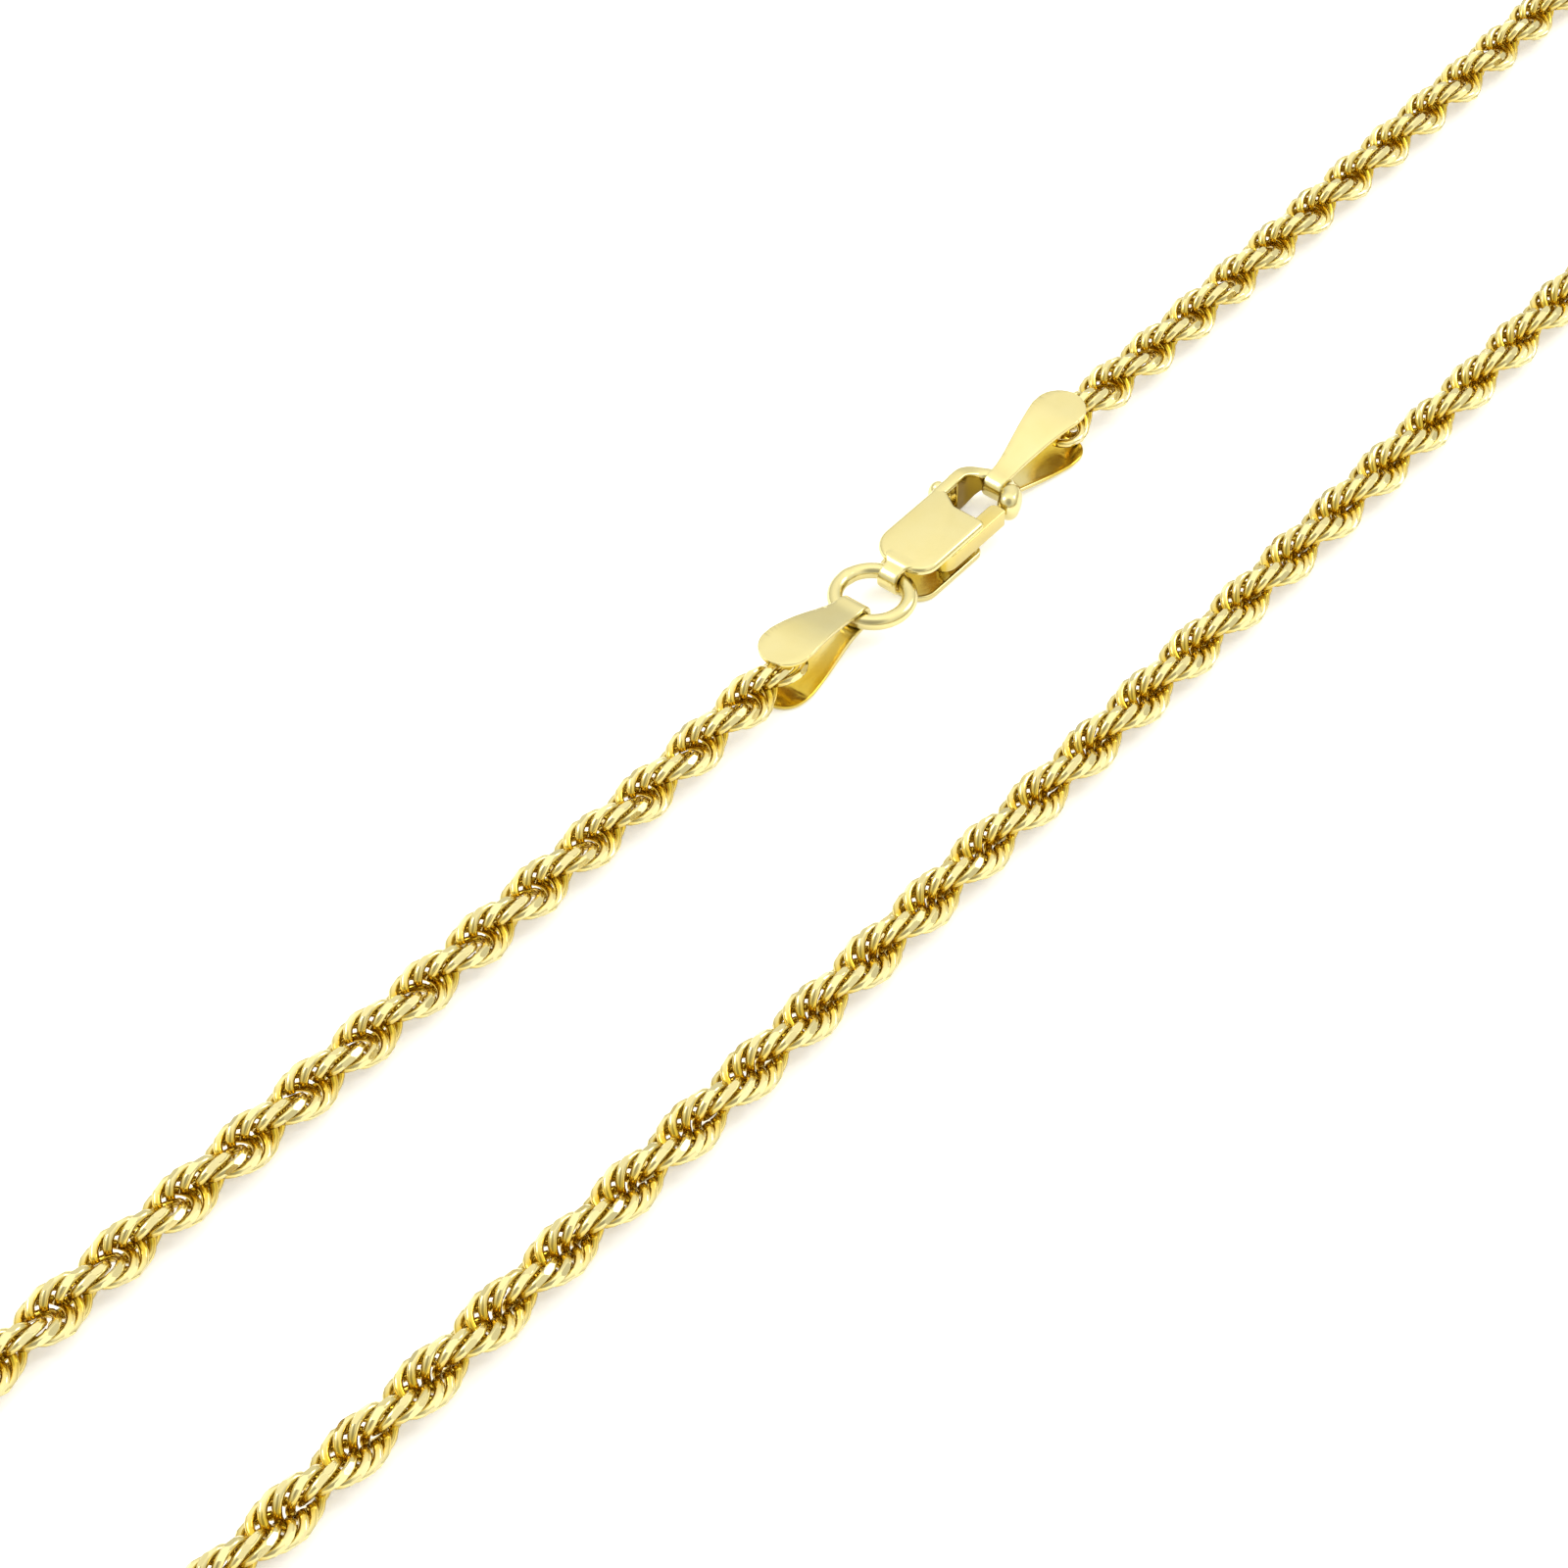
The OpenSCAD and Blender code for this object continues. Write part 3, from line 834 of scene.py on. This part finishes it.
class NECKLACE_OT_clasp(Operator):
    """Model the clasp's body with its hook, and the trigger that closes it"""

    bl_idname = "necklace.clasp"
    bl_label = "Clasp"

    # Plans, as x, y and corner radius in millimetres: the top skin; the lower one, with its
    # spine beside the window; the trigger, with its boss, gate bar and arm to the thumb nub
    shield = (
        (-3.60, -1.66, 1.12), (1.50, -1.66, 0.34), (1.50, 0.30, 0.6), (2.05, 1.15, 0.3),
        (2.25, 1.86, 0.3), (-3.60, 1.87, 1.48))
    lower = (
        (-3.60, -1.66, 1.12), (1.50, -1.66, 0.55), (1.50, 0.30, 0.6), (2.15, 1.20, 0.3),
        (3.20, 1.22, 0.25), (3.20, 1.86, 0.25), (-3.60, 1.87, 1.48))
    gate = (
        (-1.80, -1.70, 0.88), (3.10, -1.70, 0.12), (3.10, -0.85, 0.34), (1.30, -0.85, 0.3),
        (1.30, 0.30, 0.4), (2.55, 1.35, 0.3), (2.75, 2.15, 0.3), (2.15, 2.15, 0.25),
        (1.60, 1.20, 0.5), (-1.80, 0.10, 0.6))

    # The hook's straight root, from a lip of the top skin beside the nub to its full height:
    # place along the clasp, half width, half height, drop below the skin's top, and squareness
    root_y = 1.535
    root = (
        (0.80, 0.100, 0.10, 0.10, 2.6),
        (1.20, 0.250, 0.14, 0.04, 2.6),
        (1.80, 0.330, 0.17, 0.00, 2.6),
        (2.88, 0.335, 0.17, 0.00, 2.6),
        (2.98, 0.335, 1.10, 0.00, 11),
        (3.20, 0.335, 1.10, 0.00, 11))
    # Its bend at these angles in degrees, from nose to root: radius, half width, half height and
    # squareness, and the height of its middle above the table, but for the root's end, which
    # hangs from the top skin
    bend_x, bend_rings = 3.45, 46
    bend_angles = (-70, -44, -20, 0, 32, 90)
    bend_radii = (1.34, 1.42, 1.49, 1.535, 1.54, 1.535)
    bend_widths = (0.59, 0.57, 0.5, 0.485, 0.42, 0.335)
    bend_heights = (0.82, 0.78, 0.48, 0.46, 0.56, 1.1)
    bend_squares = (2.2, 2.3, 2.4, 2.5, 2.9, 11)
    bend_levels = (1.27, 1.3, 1.3, 1.3, 1.3)
    # The rings that round off its nose, and the angle of the last one
    nose_rings, nose_end = 8, 84
    # Painted shadow on the wall that faces the window, at these rings, from the root to the fold
    # that hangs in the hook. Where the root has its full height, its end is painted as dark.
    wall_rings, wall_depths = (3, 4, 24, 36), (0, 1.8, 1.6, 0)
    full_rings = (4, 5)
    # Shares of a section's half width, short of which the painted shadow of the wall and of the
    # root's end lies, and of its half height, below which both do
    wall_side, end_side, below_top = -0.3, 0.5, 0.6

    # How far strap and hook stand over the top skin, so that no two faces lie in one plane, and
    # how far the strap lies inside the lower one
    lap, sink = 0.004, 0.03
    # Length of the strap, and where its legs come level with the lower and the top skin
    strap_length, low_stop, top_stop = 1.5, 1.2, 1.05
    leg_rings = 16
    # How much wider the strap grows to each side, and where, and how much painted amber shade it
    # has inside
    strap_flare, flare_stops = 0.35, (0.7, 1.2)
    strap_depth = 0.8
    # Air between the trigger and the top skin
    trigger_gap = 0.02
    # The trigger's painted shade: inside the clasp, up to the window's edge, but for the front of
    # its bar; in that front; and in the open
    window_x, front_y = 1.5, -1.5
    gate_depths = (0.95, 0.45, 0.35)
    # The rivet's place, and how far its rounded ends lie inside the skins
    rivet_place, rivet_end = (-0.9, -0.8), 0.05
    # The nub's place, and how much taller than wide it is
    nub_place, nub_stretch = (2.48, 2.06, 1.22), 1.38

    def execute(self, context):
        findings = context.scene.necklace_findings
        gold = polished_gold(context.scene.necklace_gold)
        low, high = (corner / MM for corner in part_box("clasp_body"))
        across = (low.y + high.y) / 2
        skin, top = findings.skin / MM, high.z
        body = join("polished_clasp_body", [
            plate(
                "top_skin", rounded_outline(self.shield), top - skin, top,
                top_edge=findings.clasp_edge / MM, low_edge=0.03),
            self.lower_skin(skin, findings.skin_dish / MM),
            self.tail(findings, low.x, top),
            self.hook(top),
            self.pin(findings.rivet / MM, top),
        ])
        polish(body, across)
        finish_piece(body, "clasp_body", "necklace", gold)
        trigger = join("polished_trigger", [
            self.gate_bar(findings.gate_height / MM, top - skin - self.trigger_gap),
            self.thumb_nub(findings.nub / MM)])
        polish(trigger, across)
        finish_piece(trigger, "clasp_trigger", "trigger", gold)
        return {"FINISHED"}

    def lower_skin(self, skin, dish):
        """The lower skin: its rim stands up round a hollow whose floor is painted amber shade."""
        piece = plate(
            "lower_skin", rounded_outline(self.lower), 0, skin, top_edge=0.1, low_edge=0.1,
            dish=dish)
        deepen(piece, np.abs(coordinates(piece)[:, 2] - (skin - dish)) < 0.01)
        return piece

    def gate_bar(self, low, high):
        """The trigger's body between the skins, painted amber shade where it lies inside the clasp,
        most so behind the front of its bar, and some in the open."""
        piece = plate(
            "gate", rounded_outline(self.gate), low, high, top_edge=0.07, low_edge=0.07)
        x, y, _ = coordinates(piece).T
        inside, front, bare = self.gate_depths
        covered = x < self.window_x
        deepen(piece, np.select([covered & (y > self.front_y), covered], [inside, front], bare))
        return piece

    def tail(self, findings, outer_x, top):
        """The strap that the jump ring hangs in, flowing out of both skins."""
        bend_r, bend_z = findings.tail_fold / MM / 2, findings.fold_middle / MM
        low_z, top_z = bend_z - bend_r, bend_z + bend_r
        x = np.linspace(self.strap_length, bend_r, self.leg_rings)
        path_x, path_z = fold_path(
            x, bend_r, bend_z,
            low_z - (low_z - self.sink) * ease(x, (bend_r, self.low_stop), (0, 1)),
            top_z + (top + self.lap - top_z) * ease(x, (bend_r, self.top_stop), (0, 1)))
        half_widths = findings.tail_width / MM / 2
        half_widths = half_widths + self.strap_flare * ease(path_x, self.flare_stops, (0, 1))
        return strap(
            "tail_strap", (outer_x + path_x, path_z), half_widths,
            np.full(len(path_x), self.strap_depth), np.zeros(len(path_x)),
            findings.tail_sheet / MM, findings.edge / MM)

    def hook(self, top):
        """The hook: as high as the clasp at its root, round along its bend, with a fat nose."""
        top += self.lap
        rings = [
            self.ring((x, self.root_y), 0, wide, high, top - drop - high, square)
            for x, wide, high, drop, square in self.root]
        angles = np.linspace(self.bend_angles[-1], self.bend_angles[0], self.bend_rings)
        levels = (*self.bend_levels, top - self.bend_heights[-1])
        columns = [ease(angles, self.bend_angles, values) for values in (
            self.bend_radii, self.bend_widths, self.bend_heights, levels, self.bend_squares)]
        for angle, radius, wide, high, level, square in zip(np.radians(angles), *columns):
            x, y = self.bend_x + radius * math.cos(angle), radius * math.sin(angle)
            heading = angle - math.pi / 2
            rings.append(self.ring((x, y), heading, wide, high, level, square))
        # The last of these sections shrinks along a quarter circle to the tip of the nose.
        for tip in np.radians(np.linspace(0, self.nose_end, self.nose_rings + 1)[1:]):
            out, left = wide * math.sin(tip), math.cos(tip)
            spot = (x + out * math.sin(angle), y - out * math.cos(angle))
            rings.append(self.ring(spot, heading, wide * left, high * left, level, square))
        # Painted shadow on the wall that faces the window and on the root's end
        across, up = oval_section(1, 1, 2).T
        dark = np.interp(range(len(rings)), self.wall_rings, self.wall_depths)
        depths = dark[:, None] * ((across < self.wall_side) & (up < self.below_top))
        for i in self.full_rings:
            depths[i] = self.wall_depths[1] * ((across < self.end_side) & (up < self.below_top))
        return sweep("hook", rings, depths)

    def ring(self, spot, heading, wide, high, level, square):
        """One section of the hook at this spot, square to its heading."""
        across, up = oval_section(wide, high, square).T
        return np.stack([
            spot[0] - across * math.sin(heading), spot[1] + across * math.cos(heading),
            level + up], axis=1)

    def pin(self, radius, top):
        """The rivet that the trigger turns on, from skin to skin."""
        angles = np.arange(48) * 2 * math.pi / 48
        outline = radius * np.stack([np.cos(angles), np.sin(angles)], axis=1) + self.rivet_place
        end = self.rivet_end
        return plate("rivet", outline, end, top - end, top_edge=end, low_edge=end)

    def thumb_nub(self, radius):
        """The round thumb nub on the trigger's arm."""
        bpy.ops.object.select_all(action="DESELECT")
        bpy.ops.mesh.primitive_uv_sphere_add(
            segments=40, ring_count=24, radius=radius, location=self.nub_place)
        nub = bpy.context.object
        nub.scale = (1, 1, self.nub_stretch)
        bpy.ops.object.transform_apply(location=True, scale=True)
        return nub


# The stage


class NECKLACE_OT_studio(Operator):
    """Set out the table, the white light tent, the softboxes and the camera"""

    bl_idname = "necklace.studio"
    bl_label = "Studio"

    # Place and side of each softbox, and the point that both face, in metres
    key_place, key_side = (-0.20, 0.22, 0.26), 0.16
    fill_place, fill_side = (0.26, -0.16, 0.22), 0.14
    aim = (0, 0.0066, 0)
    # Angles from the lens at which the tent starts to darken and is darkest, in degrees
    shade_start, shade_full = 40, 14
    # The camera's place in millimetres, above the near side of the loop, its heading from +X and
    # how far it looks down, in degrees, and its lens in millimetres
    eye = (-115.63, -76.89, 133.70)
    heading, drop = 38.95, 46.53
    lens = 90

    def execute(self, context):
        studio = context.scene.necklace_studio
        self.table(studio)
        self.camera()
        self.tent(studio, context.scene.camera.location.normalized())
        self.softbox("key_softbox", self.key_place, self.key_side, studio.key_power)
        self.softbox("fill_softbox", self.fill_place, self.fill_side, studio.fill_power)
        context.scene.view_settings.view_transform = "Standard"
        return {"FINISHED"}

    def table(self, studio):
        """The table's top, a hair below the necklace."""
        bpy.ops.mesh.primitive_plane_add(size=4, location=(0, 0, -0.01 * MM))
        floor = bpy.context.object
        floor.name = "table"
        bpy.ops.object.transform_apply(location=True)
        floor.data.materials.append(floor_material(studio.floor, studio.glow))

    def tent(self, studio, lens):
        """Soft light from all round, brighter overhead, and darker where the lens looks in."""
        world = bpy.data.worlds.new("light_tent")
        bpy.context.scene.world = world
        world.use_nodes = True
        tree = world.node_tree
        tree.nodes.clear()
        way = add_node(tree, "ShaderNodeTexCoord").outputs["Generated"]
        up = add_node(tree, "ShaderNodeSeparateXYZ", links={"Vector": way})
        wall = add_node(
            tree, "ShaderNodeMapRange",
            {"From Min": 0.0, "From Max": 1.0,
             "To Min": studio.tent_low, "To Max": studio.tent_high},
            {"Value": up.outputs["Z"]})
        to_lens = add_node(
            tree, "ShaderNodeVectorMath", {1: lens}, {0: way}, operation="DOT_PRODUCT")
        opening = add_node(
            tree, "ShaderNodeMapRange",
            {"From Min": math.cos(math.radians(self.shade_start)),
             "From Max": math.cos(math.radians(self.shade_full)),
             "To Min": 1.0, "To Max": 1 - studio.lens_shade},
            {"Value": to_lens.outputs["Value"]}, interpolation_type="SMOOTHSTEP")
        strength = add_node(
            tree, "ShaderNodeMath", links={0: wall.outputs["Result"], 1: opening.outputs["Result"]},
            operation="MULTIPLY")
        light = add_node(
            tree, "ShaderNodeBackground", {"Color": (1.0, 1.0, 1.0, 1.0)},
            {"Strength": strength.outputs["Value"]})
        add_node(tree, "ShaderNodeOutputWorld", links={"Surface": light.outputs["Background"]})

    def softbox(self, name, where, side, power):
        """A square area light that faces the clasp."""
        data = bpy.data.lights.new(name, "AREA")
        data.size = side
        data.energy = power
        lamp = bpy.data.objects.new(name, data)
        bpy.context.scene.collection.objects.link(lamp)
        lamp.location = where
        way = Vector(self.aim) - lamp.location
        lamp.rotation_euler = way.to_track_quat("-Z", "Y").to_euler()

    def camera(self):
        """The camera, looking across the loop."""
        data = bpy.data.cameras.new("camera")
        data.lens = self.lens
        data.sensor_width = 36
        data.clip_start = 0.01
        camera = bpy.data.objects.new("camera", data)
        bpy.context.scene.collection.objects.link(camera)
        heading, drop = math.radians(self.heading), math.radians(self.drop)
        forward = Vector((
            math.cos(drop) * math.cos(heading), math.cos(drop) * math.sin(heading),
            -math.sin(drop)))
        camera.location = Vector(self.eye) * MM
        camera.rotation_euler = forward.to_track_quat("-Z", "Y").to_euler()
        bpy.context.scene.camera = camera


class NECKLACE_PT_panel(Panel):
    """Sidebar panel with the necklace's settings and steps"""

    bl_label = "Rope Chain Necklace"
    bl_idname = "NECKLACE_PT_panel"
    bl_space_type = "VIEW_3D"
    bl_region_type = "UI"
    bl_category = "Necklace"

    def draw(self, context):
        layout = self.layout
        for step in STEPS:
            layout.operator(step.bl_idname)
        for name, group in SETTINGS.items():
            box = layout.box()
            for key in group.__annotations__:
                box.prop(getattr(context.scene, name), key)


SETTINGS = {
    "necklace_rope": RopeSettings,
    "necklace_findings": FindingSettings,
    "necklace_gold": GoldSettings,
    "necklace_studio": StudioSettings,
}
STEPS = (
    NECKLACE_OT_studio,
    NECKLACE_OT_rope_links,
    NECKLACE_OT_end_caps,
    NECKLACE_OT_jump_ring,
    NECKLACE_OT_clasp,
)


def register():
    for item in (*SETTINGS.values(), *STEPS, NECKLACE_PT_panel):
        bpy.utils.register_class(item)
    for name, group in SETTINGS.items():
        setattr(bpy.types.Scene, name, PointerProperty(type=group))


def unregister():
    for name in SETTINGS:
        delattr(bpy.types.Scene, name)
    for item in (NECKLACE_PT_panel, *reversed(STEPS), *reversed(SETTINGS.values())):
        bpy.utils.unregister_class(item)


def main():
    register()
    bpy.ops.necklace.studio()
    bpy.ops.necklace.rope_links()
    bpy.ops.necklace.end_caps()
    bpy.ops.necklace.jump_ring()
    bpy.ops.necklace.clasp()


if __name__ == "__main__":
    main()
